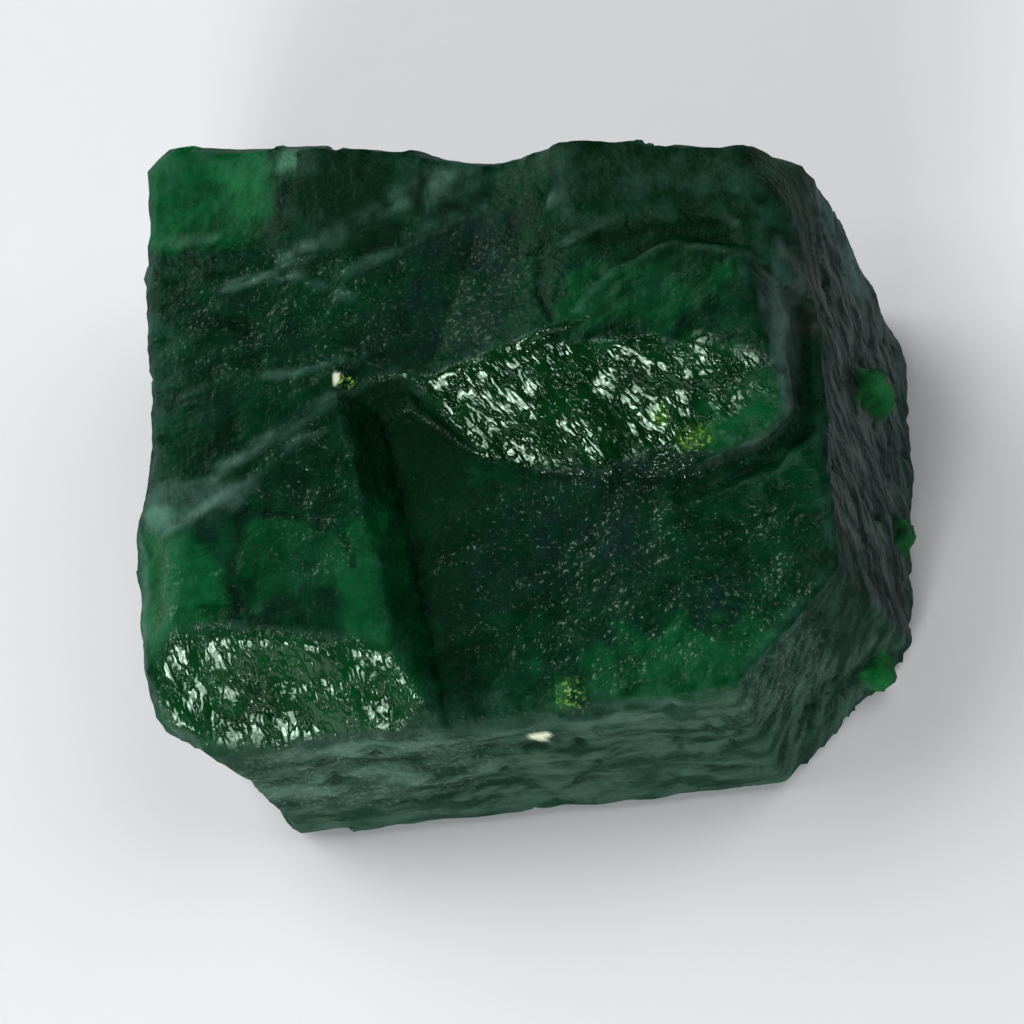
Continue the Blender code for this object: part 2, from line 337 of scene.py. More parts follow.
# The growth layers are level on the front wall and slant down the right one. Each kind of ledge has its
# thickness, its height and how much it varies along a layer.
LAYER_FACING = (90, 132)
LEDGE_THICKNESS, LEDGE_HEIGHT, LEDGE_STRETCH = 0.8, 0.12, 0.22
SHEET_THICKNESS, SHEET_HEIGHT, SHEET_STRETCH = 0.35, 0.07, 0.25
LEDGE_FADE = 1.6  # how fast the ledges die away as a wall leans back
NOISE_SEED, NOISE_SLOPES = 7, 256
FINER_SHIFT, FOLD_SHIFT = 17.3, 9.1  # move each finer layer of noise to another part of it
FOLD_FADE = 1.8  # how much lower each finer layer of folds is
# Which part of the noise each pattern shows.
WANDER_PARTS = (5, 31, 57)
LUMP_PART, DENT_PART, LEDGE_PART, FRESH_PART, BREAK_PART = 3, 40, 11, 21, 50
BUMP_PART, PIT_PART, STEP_PART, DRAPE_PART = 33, 61, 70, 5


def lattice_noise(points):
    """Smooth noise from about -0.7 to 0.7: random slopes at whole-number points, eased between them."""
    draw = np.random.RandomState(NOISE_SEED)
    order = draw.permutation(NOISE_SLOPES)
    slopes = draw.normal(size=(NOISE_SLOPES, 3))
    slopes /= np.linalg.norm(slopes, axis=1, keepdims=True)
    cell = np.floor(points).astype(int)
    inside = points - cell
    ease = inside**3 * (inside * (inside * 6 - 15) + 10)
    total = np.zeros(len(points))
    for corner in np.ndindex(2, 2, 2):
        pick = 0
        for axis in range(3):
            pick = order[(pick + cell[:, axis] + corner[axis]) % NOISE_SLOPES]
        rise = ((inside - corner) * slopes[pick]).sum(1)
        share = np.where(corner, ease, 1 - ease).prod(1)
        total += rise * share
    return total


def rough_noise(points, layers):
    """Noise with finer noise on top, each layer half as wide and half as high as the one before."""
    return sum(lattice_noise(points * 2**k + FINER_SHIFT * k) / 2**k for k in range(layers))


def creased_noise(points, layers):
    """Like rough noise, but folded at zero, so that smooth bulges meet in sharp creases."""
    return sum(np.abs(lattice_noise(points * 2**k + FOLD_SHIFT * k)) / FOLD_FADE**k for k in range(layers))


def across_layers(points, stretch):
    """The points with their way along the growth layers squeezed to the stretch, and across them kept."""
    through = facing(*LAYER_FACING)
    return stretch * points + (1 - stretch) * np.outer(points @ through, through)


def skin_height(points, normals):
    """How far the skin stands out, in mm: broad lumps, dents, and on steep faces the ledges of its layers."""
    wander = [lattice_noise(points / WANDER_SIZE + part) for part in WANDER_PARTS]
    bent = points + WANDER * np.stack(wander, axis=1)
    steep = np.clip(1 - LEDGE_FADE * np.abs(normals[:, 2]), 0, 1)
    lumps = LUMP_HEIGHT * lattice_noise(bent / LUMP_SIZE + LUMP_PART)
    dents = DENT_HEIGHT * rough_noise(bent / DENT_SIZE + DENT_PART, 2)
    layered = across_layers(bent, LEDGE_STRETCH)
    ledges = LEDGE_HEIGHT * steep * rough_noise(layered / LEDGE_THICKNESS + LEDGE_PART, 2)
    return lumps + dents + ledges


def ease_between(value, low, high):
    """0 below low and 1 above high, with a smooth change between; high may be below low."""
    share = np.clip((value - low) / (high - low), 0, 1)
    return share * share * (3 - 2 * share)


RAGGED_SIZE = 1.1  # the width of the notches in a patch's border


def patch(points, centre, radii, ragged=0.35, fade=0.35, square=2):
    """1 in an ellipsoid round the centre and 0 outside, with a ragged, faded border; square makes it boxy."""
    reach = (np.abs((points - centre) / radii) ** square).sum(1) ** (1 / square)
    reach += ragged * rough_noise(points / RAGGED_SIZE + np.sum(centre), 3)
    return ease_between(reach, 1 + fade / 2, 1 - fade / 2)


def looks_along(normals, face, narrow=0.88, full=0.965):
    """1 where the skin lies the way the face does and 0 where it turns away."""
    return ease_between(normals @ facing(*face[3:]), narrow, full)


def stretched(points, way, factor):
    """The points squeezed along one way, so that a pattern on them comes out longer that way."""
    way = np.array(way) / np.linalg.norm(way)
    return points - np.outer(points @ way, way) * (1 - 1 / factor)


def near_line(points, route, reach):
    """1 on a line through the route's places, as seen from above, falling to 0 at the reach."""
    gap = np.full(len(points), np.inf)
    for start, end in zip(route, route[1:]):
        line = np.subtract(end, start)
        along = np.clip((points[:, :2] - start) @ line / (line @ line), 0, 1)
        gap = np.minimum(gap, np.linalg.norm(points[:, :2] - start - along[:, None] * line, axis=1))
    return ease_between(gap, reach, 0)


def stepped(level, riser=0.25):
    """Turns a smooth slope into steps: level treads, each with a riser that takes up a share of it."""
    tread = np.floor(level)
    return tread + ease_between(level - tread, 1 - riser, 1)


# Low worn ridges run across the slab and along the ramp's crest, and the right block's top broke in
# two thin curved plates. Each ridge is how far it reaches to its sides, and the places it runs through.
RIDGES = [
    (0.5, [(-6.6, 5.9), (-4.6, 6.9), (-3.1, 7.5), (-0.9, 8.3)]),
    (0.35, [(-4.9, 5.3), (-3.4, 6.2), (-2.3, 6.9), (-0.6, 7.5)]),
    (0.4, [(-3.9, 7.6), (-2.4, 8.3), (-0.9, 8.9)]),
    (0.35, [(-8.6, 5.2), (-6.6, 5.5), (-4.6, 4.6)]),
    (0.3, [(-9.8, 1.6), (-8.0, 2.3), (-6.4, 2.2), (-4.9, 2.6)]),
    (0.45, [(-5.2, 1.4), (-6.8, 0.4), (-8.8, -0.9), (-10.6, -2.2)]),
    (0.3, [(-5.6, 0.5), (-7.2, -0.5), (-9.0, -1.7), (-10.4, -2.6)]),
    (0.2, [(1.8, 5.5), (3.0, 6.0), (3.9, 6.15), (5.8, 6.3), (7.0, 6.2), (7.9, 5.4), (8.1, 4.7)]),
    (0.22, [(2.6, 3.4), (3.0, 3.9), (3.7, 4.5), (4.5, 4.9), (5.6, 5.2), (6.9, 4.95), (8.1, 4.6)]),
    (0.2, [(1.6, 7.0), (3.2, 7.4), (5.6, 7.1), (7.9, 7.4)]),
]
CRACKS = [
    [(-8.3, -4.9), (-8.4, -3.6), (-8.1, -2.0), (-6.3, -2.2), (-5.0, -2.8), (-4.7, -3.7)],
    [(1.4, 5.6), (1.25, 4.2), (1.75, 3.2)],
]

# Where each kind of relief lies: the two fresh faces, the steep ones, the bright corner, the walls, the
# worn tops and the broken back. Near the base the relief fades out, so the stone still rests flat.
fresh_scarp = looks_along(normals, SCARP) * patch(skin, (2.0, 1.2, 9.4), (5.3, 3.0, 1.9), 0.4, 0.4)
on_ramp = patch(skin, (-7.2, -7.0, 7.8), (4.6, 2.4, 2.2), 0.3, 0.3)
fresh_front = looks_along(normals, RAMP_FRONT, 0.85, 0.95) * on_ramp
fresh = np.maximum(fresh_scarp, fresh_front)
steep = ease_between(normals[:, 2], 0.62, 0.35)
corner = np.maximum(
    patch(skin, (-9.9, 8.8, 10.4), (2.6, 2.2, 2.6), 0.25, 0.2, 3),
    0.6 * patch(skin, (-8.4, 7.9, 10.4), (1.3, 1.4, 2.0), 0.25, 0.2),
)
walls = steep * (1 - patch(skin, (-2.6, -3.2, 8.4), (2.8, 5.6, 2.6), 0.2, 0.3, 4))
worn_top = (1 - fresh) * (1 - steep) * (1 - 0.8 * corner)
back_side = walls * ease_between(normals @ (-0.5, 0.85, 0), 0.1, 0.35)
seated = ease_between(skin[:, 2], 0.02, 0.5)
along_slab = stretched(skin, (0.9, 0.44, 0), 2.5)
broken = ease_between(rough_noise(along_slab / BREAK_SIZE + BREAK_PART, 3), -0.45, 0.35)
ridge = np.max([near_line(skin, route, reach) for reach, route in RIDGES], axis=0) * (1 - steep) * broken
crack = np.max([near_line(skin, route, CRACK_REACH) for route in CRACKS], axis=0)
crack = crack * (1 - steep) * (0.3 + 0.7 * broken)

height = skin_height(skin, normals)
# The fresh faces broke in folds that run down them, and the tops in bulges along the slab.
down_scarp = stretched(skin, (0.55, -0.62, -0.56), 1.6)
down_front = stretched(skin, (0.1, -0.7, -0.7), 2.0)
for share, way, high in ((fresh_scarp, down_scarp, SCARP_HEIGHT), (fresh_front, down_front, FRONT_HEIGHT)):
    folds = lattice_noise(way / FRESH_SIZE + FRESH_PART) + FOLD_SHARE * creased_noise(way / FOLD_SIZE, 2)
    height += share * high * folds
height += BULGE_HEIGHT * worn_top * (0.4 - creased_noise(along_slab / BULGE_SIZE, 4))
height += BUMP_HEIGHT * worn_top * rough_noise(skin / BUMP_SIZE + BUMP_PART, 3)
height += RIDGE_HEIGHT * ridge - CRACK_DEPTH * crack
sheets = across_layers(skin, SHEET_STRETCH)
height += SHEET_HEIGHT * walls * rough_noise(sheets / SHEET_THICKNESS, 3)
height -= PIT_DEPTH * walls * ease_between(rough_noise(skin / PIT_SIZE + PIT_PART, 2), 0.25, 0.5)
# The back and left walls broke across the layers, so they drop in thin, ragged steps.
long_ways = stretched(skin, (0.9, 0.3, 0.3), 1.7)
steps = stepped(STEPS_ACROSS * rough_noise(long_ways / STEP_SIZE + STEP_PART, 4))
below_rim = ease_between(skin[:, 2], 8.0, 6.4)
height += STEP_HEIGHT * back_side * below_rim * (steps + 0.3)
height += DRAPE_HEIGHT * back_side * below_rim * (0.3 - creased_noise(skin / DRAPE_SIZE + DRAPE_PART, 3))
skin = skin + normals * (height * seated)[:, None]
skin[:, 2] = np.maximum(skin[:, 2], 0)

# The skin is set over the CAD solid: seen from above their boxes share a middle, and both stand at 0.
cad_box_low, cad_box_high = (np.array(corner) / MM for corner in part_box("emerald_crystal"))
seat = (cad_box_low + cad_box_high) / 2 - (skin.min(0) + skin.max(0)) / 2
seat[2] = 0


# ---------------------------------------------------------------- the stone's zones
# Where the stone is fresh and glassy, where dust fills its grain, where it is thin enough for light to come
# through, and where fine crystals coat it. Some zones also paint light and shade: shade in hollows and
# creases, a glow in thin corners, and a few glints and lit edges. Each zone is a share from 0 to 1 kept at
# every point.

# How far each point lies below the middle of its neighbours, in mm: above 0 in a crease and below 0 on an
# edge. These are the bends where a worn edge and the painted shade in a crease start, and where they are
# full.
EDGE_BEND, CREASE_SHADE_BEND = (0.002, 0.008), (0.001, 0.006)
bend = ((neighbour_mean(skin, pairs) - skin) * normals).sum(1)
for _ in range(3):
    bend = neighbour_mean(bend[:, None], pairs)[:, 0]
# Each zone's spots: the middle, the reach along X, Y and Z, the share, and where it matters how ragged
# the border is, how far it fades and how boxy the spot is.
SPOTS = {
    "clear": [  # thin enough for light, and clean; its brighter green is partly a painted glow of light coming through
        ((-10.3, -4.2, 8.6), (1.5, 2.3, 1.8), 0.9),
        ((-10.0, -8.1, 6.8), (2.3, 1.0, 1.0), 0.9),
        ((-7.2, -9.2, 1.0), (2.6, 1.2, 1.2), 0.6),
        ((5.0, -6.9, 6.6), (3.6, 1.5, 1.0), 0.4, 0.8),
        ((8.0, 0.4, 9.2), (0.9, 1.4, 1.4), 0.5),
        ((-4.0, -4.4, 8.7), (1.2, 2.6, 1.5), 0.45, 1.0),
        ((-3.3, -6.2, 7.9), (1.1, 2.2, 1.3), 0.5, 0.8),
        ((-9.9, 6.9, 10.3), (0.9, 0.25, 0.6), 0.5),
        ((6.6, 1.3, 9.2), (1.6, 2.2, 1.6), 0.7),
        ((4.4, 3.8, 10.8), (2.6, 1.4, 0.9), 0.25, 0.9),
        ((-6.8, -3.2, 9.3), (1.9, 1.6, 1.0), 0.25, 0.9),
        ((9.45, 6.6, 9.2), (0.3, 1.1, 1.0), 0.7, 0.3),
        ((11.0, 5.6, 2.9), (0.6, 1.2, 1.6), 0.7),
        ((-11.4, 5.2, 6.4), (1.2, 2.2, 2.2), 0.4, 0.9),
        ((-3.6, 9.4, 7.2), (2.6, 1.2, 1.6), 0.45, 0.9),
        ((6.4, 9.0, 4.6), (1.8, 1.2, 2.6), 0.35, 0.9),
    ],
    "slate": [  # blue-black, with the finest crystals
        ((-0.9, 5.2, 9.8), (1.7, 3.2, 1.5), 1.0),
        ((-2.6, 3.3, 10.0), (2.4, 1.3, 1.0), 0.8),
        ((-6.0, -3.4, 9.4), (1.4, 1.1, 1.0), 0.6),
        ((-0.6, -3.6, 7.6), (1.0, 1.6, 1.0), 0.8),
        ((2.0, -2.6, 7.2), (2.2, 2.2, 1.0), 0.9),
        ((6.0, -4.9, 7.0), (0.9, 0.7, 0.8), 0.9),
        ((3.2, -0.8, 7.7), (2.6, 0.7, 0.6), 0.9),
        ((5.0, 7.6, 11.4), (3.6, 1.4, 1.0), 0.7),
        ((-5.0, 8.2, 10.2), (1.8, 1.5, 1.0), 0.6),
        ((1.6, 9.4, 3.0), (3.6, 1.2, 1.8), 0.7, 0.9),
        ((-11.4, -0.6, 3.4), (1.2, 3.0, 1.8), 0.7, 0.9),
    ],
    "druse": [  # coated with tiny crystal faces
        ((2.2, -4.0, 7.2), (4.4, 3.4, 1.5), 1.0),
        ((6.4, -4.3, 7.2), (2.6, 2.6, 1.5), 0.9),
        ((-1.5, 4.6, 9.8), (2.6, 2.2, 1.5), 0.35, 0.7),
        ((-6.0, -1.6, 9.4), (1.9, 2.6, 1.0), 0.8),
        ((-6.5, 4.0, 10.3), (3.8, 2.4, 1.0), 0.6),
        ((3.6, -0.7, 7.7), (3.0, 0.7, 0.7), 1.0),
        ((-10.0, -4.6, 9.0), (1.3, 1.8, 1.3), 0.5, 0.8),
        ((-5.5, -8.8, 4.4), (4.5, 1.4, 2.5), 0.7),
        ((8.0, -6.6, 5.5), (2.2, 1.6, 2.5), 0.6),
        ((3.0, 9.4, 6.6), (4.6, 1.4, 2.4), 0.6, 0.9),
        ((-11.4, 1.6, 5.6), (1.4, 3.6, 2.2), 0.6, 0.9),
    ],
    "hollow_shade": [  # painted shade in hollows, seams and on shadowed walls
        ((-2.9, 0.6, 8.6), (1.9, 2.0, 2.6), 1.0),
        ((-2.6, -3.0, 8.0), (1.5, 4.5, 1.4), 0.45),
        ((-2.4, -4.8, 7.4), (1.2, 2.6, 1.2), 0.6),
        ((9.7, -4.5, 5.6), (1.2, 1.8, 2.8), 0.6),
        ((5.6, 5.6, 11.0), (3.2, 1.2, 0.9), 0.75),
        ((4.6, 7.9, 11.4), (3.8, 1.4, 1.0), 0.85),
        ((-5.0, 8.3, 10.4), (1.8, 1.4, 1.0), 0.6),
        ((9.0, 6.6, 9.6), (0.7, 2.2, 1.8), 0.7),
        ((9.7, 2.4, 8.2), (0.7, 2.2, 1.2), 0.6),
    ],
    "reddish": [  # stained
        ((9.3, 4.4, 9.0), (0.7, 1.5, 1.2), 0.7),
    ],
    "rubbed_and_lit_edge": [  # light rubbed edges, and a painted highlight along the right block's lit edge
        ((8.75, 2.4, 9.8), (0.3, 2.7, 1.3), 1.0, 0.15, 0.3, 4),
        ((-9.4, -1.5, 9.9), (2.0, 0.5, 0.8), 0.55, 0.9),
        ((-10.5, -2.0, 9.4), (0.9, 0.5, 0.7), 1.0, 0.5),
        ((-11.5, -4.8, 8.3), (0.16, 3.2, 0.9), 0.9, 0.2),
        ((10.0, 7.5, 7.3), (0.6, 0.7, 1.3), 1.0, 0.3),
        ((10.45, 6.5, 5.2), (0.6, 0.9, 1.6), 1.0, 0.3),
    ],
    "pale": [  # dust along the rims of the front wall
        ((-4.6, -8.6, 5.6), (3.4, 0.9, 0.5), 0.6, 0.9),
        ((-6.4, -9.0, 3.6), (2.6, 0.8, 0.7), 0.5, 0.9),
        ((-2.0, -9.0, 3.4), (2.6, 0.8, 0.4), 0.3, 0.9),
        ((3.8, -8.3, 6.0), (3.2, 0.6, 0.5), 0.35, 0.9),
    ],
    "chip": [  # pale chips
        ((-6.63, 9.38, 10.25), (0.48, 0.34, 0.5), 0.9, 0.05, 0.2),
        ((-9.7, 6.95, 10.3), (0.85, 0.17, 0.5), 0.55, 0.15, 0.5),
        ((-10.4, -1.9, 9.4), (0.9, 0.4, 0.6), 0.6),
    ],
    "yellow_and_glints": [  # yellow-green inclusions, and two painted yellow-green glints on the scarp's right
        ((1.3, -7.5, 6.9), (0.7, 0.5, 0.5), 0.9, 0.8, 1.0),
        ((-4.75, 1.85, 10.2), (0.3, 0.2, 0.4), 1.0, 0.1),
        ((5.8, -0.1, 8.4), (0.4, 0.3, 0.3), 1.0, 0.5, 1.4),
        ((4.7, 0.5, 8.9), (0.25, 0.3, 0.3), 0.9, 0.5, 1.4),
    ],
    "white_chips_and_glint": [  # white chips, and a painted glint streak on the back rim
        ((0.36, -8.3, 5.1), (0.32, 0.7, 0.3), 1.0, 0.35, 0.3),
        ((-5.05, 1.95, 10.3), (0.10, 0.2, 0.3), 0.8, 0.1, 0.2),
        # a painted glint streak, not a chip
        ((-0.16, 8.3, 10.1), (0.07, 0.12, 0.2), 1.0, 0.1, 0.4),
    ],
}
zones = {}
for name, places in SPOTS.items():
    shares = [share * patch(skin, middle, radii, *border) for middle, radii, share, *border in places]
    zones[name] = np.max(shares, axis=0) * (1 if name == "yellow_and_glints" else 1 - fresh)
# The grown-on grains are clean and bright, up to just outside their own sides.
GRAIN_RIM = (0.12, 0.02)
grain_gap = np.min([outside_of_grain(skin, *grain) for grain in GRAINS.values()], axis=0)
# The bright corner joins it, its green partly a painted glow of light coming through.
zones["clear"] = np.maximum(zones["clear"], corner)
zones |= {
    "in_grain": ease_between(grain_gap, *GRAIN_RIM),
    "ridge": ridge,
    "crack": crack,
    "fresh_scarp": fresh_scarp,
    "fresh_front": fresh_front,
    "dust": walls * (1 - fresh),
    "grey_side": walls * looks_along(normals, OUTER_WALLS["right"], 0.75, 0.95),
    "back_side": back_side,
    "worn_edge": ease_between(-bend, *EDGE_BEND),
    "crease_shade": ease_between(bend, *CREASE_SHADE_BEND),
}

body_mesh = bpy.data.meshes.new("emerald_crystal_skin")
body_mesh.from_pydata(((skin + seat) * MM).tolist(), [], [*quads.tolist(), *fans.tolist()])
for name, share in zones.items():
    body_mesh.attributes.new(name, "FLOAT", "POINT").data.foreach_set("value", share.astype(np.float32))
body_mesh.shade_smooth()
emerald = bpy.data.objects.new("emerald_crystal_skin", body_mesh)
bpy.context.scene.collection.objects.link(emerald)


# ---------------------------------------------------------------- the stone's finish
# Rough beryl: a dark green body that breaks with a glassy, conchoidal surface, lets some light into its
# thin corners, and turns matt and grey-green where the grain holds dust.

BERYL_IOR = 1.577
GRIT_SIZE, GRAIN_SIZE, FOIL_SIZE = 0.2, 0.6, 0.42  # the fine relief's grit, grain and creases, in mm
FINE_DEPTH, GLOW_DEPTH = 0.12, 0.4  # how deep that relief is, and how deep light gets in, in mm


def linear(code):
    """The linear red, green, blue and alpha of an sRGB hex colour."""
    parts = [int(code[i : i + 2], 16) / 255 for i in (1, 3, 5)]
    return (*(c / 12.92 if c <= 0.04045 else ((c + 0.055) / 1.055) ** 2.4 for c in parts), 1)


def add(tree, kind, inputs=(), out=0, **settings):
    """Adds a node, fills its settings and its inputs with values or other nodes' sockets, gives an output."""
    made = tree.nodes.new("ShaderNode" + kind)
    for name, value in settings.items():
        setattr(made, name, value)
    for key, value in dict(inputs).items():
        if isinstance(value, bpy.types.NodeSocket):
            tree.links.new(value, made.inputs[key])
        else:
            made.inputs[key].default_value = value
    return made.outputs[out] if made.outputs else made


def rough_emerald():
    """Rough beryl, broken and unpolished: glassy where it is fresh, dull where it is worn or holds dust."""
    material = bpy.data.materials.new("rough_emerald_beryl")
    material.use_nodes = True
    tree = material.node_tree
    tree.nodes.clear()
    place = add(tree, "TexCoord", out="Object")
    zone = {name: add(tree, "Attribute", out="Fac", attribute_name=name) for name in zones}

    # The ways the patterns run: how each is turned, and how much longer it is along X, Y and Z.
    ways = {}
    for name, turn, longer in (
        ("streaks", (0, 0, 0.35), (3.3, 1, 1)),
        ("layers", (0.84, 0, 0), (5, 4, 1)),
        ("down_scarp", (0, 0.59, -0.84), (2, 1, 1)),
        ("down_front", (0, 0.78, -1.43), (2.2, 1, 1)),
    ):
        settings = {"Vector": place, "Rotation": turn, "Scale": longer}
        ways[name] = add(tree, "Mapping", settings, vector_type="TEXTURE")

    # Each pattern's way, its size in mm, its detail, and the noise levels where it starts and is full.
    patterns = {
        "cloudy": (place, 2.4, 4, 0.35, 0.65),
        "mottled": (place, 0.8, 5, 0.40, 0.66),
        "speckled": (place, 0.13, 2, 0.54, 0.64),
        "streaked": (ways["streaks"], 1.1, 5, 0.44, 0.66),
        "layers": (ways["layers"], 0.7, 5, 0.36, 0.64),
        "fibres": (ways["layers"], 0.3, 4, 0.42, 0.62),
    }
    pattern = {}
    for name, (where, size, detail, low, high) in patterns.items():
        settings = {"Vector": where, "Scale": 1 / (size * MM), "Detail": detail, "Roughness": 0.6}
        noise = add(tree, "TexNoise", settings)
        pattern[name] = add(tree, "MapRange", {"Value": noise, "From Min": low, "From Max": high})

    # Colour, from the deepest layer to what lies on top: where, which pattern, how much, and the colour.
    colours = [
        (None, "cloudy", 1.0, "#002a14"),
        (None, "mottled", 0.5, "#003a1e"),
        ("slate", "mottled", 0.9, "#06161a"),
        (None, "streaked", 0.3, "#12342c"),
        # The worn ridges are lighter, partly a painted highlight where they catch the daylight.
        ("ridge", None, 0.55, "#2f5548"),
        ("ridge", "streaked", 0.8, "#56786a"),
        ("fresh_scarp", None, 0.9, "#002608"),
        ("fresh_scarp", "mottled", 0.35, "#064a18"),
        ("fresh_front", None, 0.9, "#002c0a"),
        ("fresh_front", "cloudy", 0.6, "#06521f"),
        # Brighter green where the stone is thin and clean, partly a painted glow of light coming through.
        ("clear", None, 0.95, "#00461c"),
        ("clear", "cloudy", 0.6, "#0a5c30"),
        ("clear", "mottled", 0.4, "#1f7a48"),
        ("clear", "streaked", 0.4, "#07361a"),
        # Yellow-green inclusions, and painted yellow-green glints on the scarp.
        ("yellow_and_glints", "mottled", 0.7, "#4c8a24"),
        ("yellow_and_glints", "speckled", 0.6, "#a8d85c"),
        ("dust", None, 0.85, "#0a2c1e"),
        ("dust", "layers", 0.6, "#2b473a"),
        ("dust", "fibres", 0.4, "#5a7c6a"),
        ("back_side", None, 0.6, "#08241a"),
        ("back_side", "cloudy", 0.7, "#031410"),
        ("back_side", "mottled", 0.5, "#2a4a3e"),
        ("grey_side", None, 0.85, "#101c1a"),
        ("grey_side", "layers", 0.6, "#2c3a38"),
        ("grey_side", "fibres", 0.7, "#5c6b66"),
        # Painted shade: the hollows, seams and shadowed walls are darkened.
        ("hollow_shade", None, 0.9, "#00200b"),
        ("reddish", "fibres", 0.7, "#4a4248"),
        ("worn_edge", "mottled", 0.35, "#2c5044"),
        # Light rubbed edges, partly a painted highlight on the right block's lit edge.
        ("rubbed_and_lit_edge", None, 0.5, "#33534b"),
        ("rubbed_and_lit_edge", "mottled", 0.6, "#56746a"),
        ("pale", "layers", 0.6, "#33534b"),
        ("pale", "fibres", 0.6, "#6a8a7a"),
        ("chip", None, 0.8, "#4d8067"),
        # White chips, and one painted glint.
        ("white_chips_and_glint", None, 1.0, "#f2fbdc"),
        # Painted shade: the creases are darkened.
        ("crease_shade", None, 0.45, "#000a04"),
        ("crack", None, 0.5, "#000a04"),
        ("in_grain", None, 1.0, "#0a5222"),
        ("in_grain", "mottled", 0.5, "#2c8a4c"),
    ]
    # A Mix node's inputs share their names, so they go by number: 0 is the share, 2 and 3 are values, and
    # 6 and 7 are colours.
    body = linear("#00150a")
    for where, which, most, code in colours:
        share = most
        for part in (zone.get(where), pattern.get(which)):
            if part:
                share = add(tree, "Math", {0: part, 1: share}, operation="MULTIPLY")
        body = add(tree, "Mix", {0: share, 6: body, 7: linear(code)}, out=2, data_type="RGBA")

    # Shine: fresh faces and tiny crystal faces are glassy, dusty ones are matt. The green around the glints
    # tints them faintly mint.
    tiny = add(tree, "MapRange", {"Value": zone["druse"], "To Min": 0.12, "To Max": 1.0})
    tiny = add(tree, "Math", {0: pattern["speckled"], 1: tiny}, operation="MULTIPLY")
    fresh_any = add(tree, "Math", {0: zone["fresh_scarp"], 1: zone["fresh_front"]}, operation="MAXIMUM")
    glassy = add(tree, "Math", {0: tiny, 1: fresh_any}, operation="MAXIMUM")
    rough = add(tree, "MapRange", {"Value": pattern["mottled"], "To Min": 0.36, "To Max": 0.5})
    for where, change in (("dust", 0.3), ("slate", 0.1), ("hollow_shade", 0.1)):
        rough = add(tree, "Math", {0: zone[where], 1: change, 2: rough}, operation="MULTIPLY_ADD")
    rough = add(tree, "Mix", {0: glassy, 2: rough, 3: 0.13})
    gloss = add(tree, "MapRange", {"Value": glassy, "To Min": 0.05, "To Max": 0.4})

    # Fine relief: foil-like creases on fresh faces, and fine grain everywhere.
    fine = add(tree, "TexNoise", {"Vector": place, "Scale": 1 / (GRIT_SIZE * MM), "Detail": 1.5})
    fine = add(tree, "Math", {0: fine, 1: 0.45}, operation="MULTIPLY")
    settings = {"Vector": place, "Scale": 1 / (GRAIN_SIZE * MM), "Detail": 3, "Roughness": 0.6}
    lumpy = add(tree, "TexNoise", settings)
    fine = add(tree, "Math", {0: lumpy, 1: 0.7, 2: fine}, operation="MULTIPLY_ADD")
    worn = add(tree, "Math", {0: 1.15, 1: fresh_any}, operation="SUBTRACT")
    worn = add(tree, "Math", {0: zone["clear"], 1: -0.6, 2: worn}, operation="MULTIPLY_ADD")
    fine = add(tree, "Math", {0: fine, 1: worn}, operation="MULTIPLY")
    for where, way in (("fresh_scarp", "down_scarp"), ("fresh_front", "down_front")):
        settings = {"Vector": ways[way], "Scale": 1 / (FOIL_SIZE * MM), "Detail": 2, "Roughness": 0.55}
        foil = add(tree, "TexNoise", settings)
        crease = add(tree, "Math", {0: foil, 1: 0.5}, operation="SUBTRACT")
        crease = add(tree, "Math", {0: crease}, operation="ABSOLUTE")
        crease = add(tree, "MapRange", {"Value": crease, "From Max": 0.05, "To Max": 0.35})
        foil = add(tree, "Math", {0: foil, 1: 0.7, 2: crease}, operation="MULTIPLY_ADD")
        fine = add(tree, "Math", {0: foil, 1: zone[where], 2: fine}, operation="MULTIPLY_ADD")
    bumped = add(tree, "Bump", {"Height": fine, "Distance": FINE_DEPTH * MM, "Strength": 1.0})

    shader = add(tree, "BsdfPrincipled", {
        "Base Color": body,
        "Roughness": rough,
        "IOR": BERYL_IOR,
        "Specular IOR Level": gloss,
        "Specular Tint": linear("#dcffe6"),
        "Subsurface Weight": 0.15,
        "Subsurface Radius": (0.25, 1.0, 0.45),
        "Subsurface Scale": GLOW_DEPTH * MM,
        "Normal": bumped,
    })
    add(tree, "OutputMaterial", {"Surface": shader})
    return material


body_mesh.materials.append(rough_emerald())
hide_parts("emerald_crystal")
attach(emerald, "root")

# ---------------------------------------------------------------- the sheet, the light and the camera
# The stone lies on plain white paper. Soft daylight comes from the upper left, behind it. A window low in
# front, with a small lamp in it, puts the white glints on the glassy faces, and a dim ceiling fills the
# shadow. The camera looks down on it from close by.

PULP_SIZE, PULP_DEPTH = 1.2, 0.05  # mm


def plain_paper():
    """Matt white paper: a slightly cool white, with the soft grain of its pulp as a low bump."""
    material = bpy.data.materials.new("plain_paper")
    material.use_nodes = True
    tree = material.node_tree
    surface = tree.nodes["Principled BSDF"]
    surface.inputs["Base Color"].default_value = linear("#e6e7ea")
    surface.inputs["Roughness"].default_value = 0.9
    place = add(tree, "TexCoord", out="Object")
    pulp = add(tree, "TexNoise", {"Vector": place, "Scale": 1 / (PULP_SIZE * MM), "Detail": 4})
    bumped = add(tree, "Bump", {"Height": pulp, "Distance": PULP_DEPTH * MM, "Strength": 0.3})
    tree.links.new(bumped, surface.inputs["Normal"])
    return material


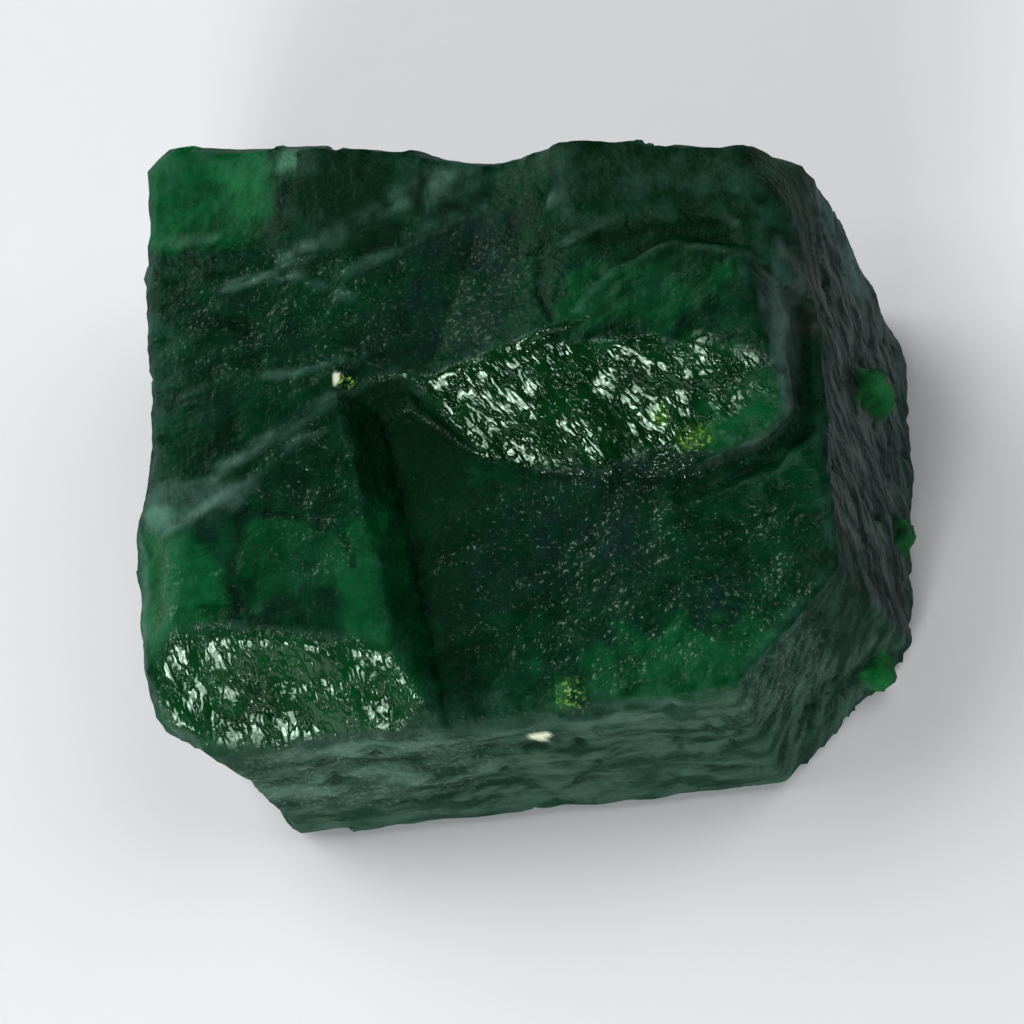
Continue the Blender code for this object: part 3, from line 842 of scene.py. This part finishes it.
SHEET_HALF = 0.4  # metres
sheet_mesh = bpy.data.meshes.new("paper_sheet")
corners = SHEET_HALF * np.array([(-1, -1, 0), (1, -1, 0), (1, 1, 0), (-1, 1, 0)])
sheet_mesh.from_pydata(corners.tolist(), [], [(0, 1, 2, 3)])
sheet_mesh.materials.append(plain_paper())
paper = bpy.data.objects.new("paper_sheet", sheet_mesh)
bpy.context.scene.collection.objects.link(paper)
paper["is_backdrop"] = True

STONE_MIDDLE = (0, 0, 5 * MM)


def soft_light(name, place, size, watts):
    """A rectangular light of a size, at a place in metres, turned to the middle of the stone."""
    lamp = bpy.data.lights.new(name, "AREA")
    lamp.shape = "RECTANGLE"
    lamp.size, lamp.size_y = size
    lamp.energy = watts
    made = bpy.data.objects.new(name, lamp)
    made.location = place
    made.rotation_euler = (Vector(STONE_MIDDLE) - Vector(place)).to_track_quat("-Z", "Y").to_euler()
    bpy.context.scene.collection.objects.link(made)


soft_light("daylight", (-0.36, 0.19, 0.30), (0.5, 0.5), 2.9)
soft_light("front_window", (-0.06, -0.27, 0.13), (0.13, 0.11), 0.44)
soft_light("front_lamp", (-0.075, -0.27, 0.135), (0.05, 0.04), 0.15)
soft_light("ceiling", (0.26, 0.14, 0.42), (0.4, 0.4), 0.9)
sky = bpy.data.worlds.new("dim_room")
sky.use_nodes = True
sky.node_tree.nodes["Background"].inputs["Color"].default_value = linear("#dfe6ee")
sky.node_tree.nodes["Background"].inputs["Strength"].default_value = 0.05
bpy.context.scene.world = sky

# The camera stands round to the right of the front and well above the sheet, and looks at a place in mm.
VIEW_AROUND, VIEW_UP, VIEW_DISTANCE = radians(25), radians(66), 160 * MM
VIEW_AIM = np.array([-0.56, -0.75, 5.0])
back = np.array([sin(VIEW_AROUND) * cos(VIEW_UP), -cos(VIEW_AROUND) * cos(VIEW_UP), sin(VIEW_UP)])
up = np.array([0, 1, 0]) - back[1] * back
up /= np.linalg.norm(up)
right = np.cross(up, back)
lens = bpy.data.cameras.new("camera")
lens.sensor_width = 36
lens.lens = 180
lens.clip_start, lens.clip_end = 0.005, 5
camera = bpy.data.objects.new("camera", lens)
eye = (VIEW_AIM + seat) * MM + back * VIEW_DISTANCE
turn = Matrix(np.stack([right, up, back], axis=1).tolist()).to_4x4()
camera.matrix_world = Matrix.Translation(eye) @ turn
bpy.context.scene.collection.objects.link(camera)
bpy.context.scene.camera = camera
bpy.context.scene.view_settings.view_transform = "Standard"

low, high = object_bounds()
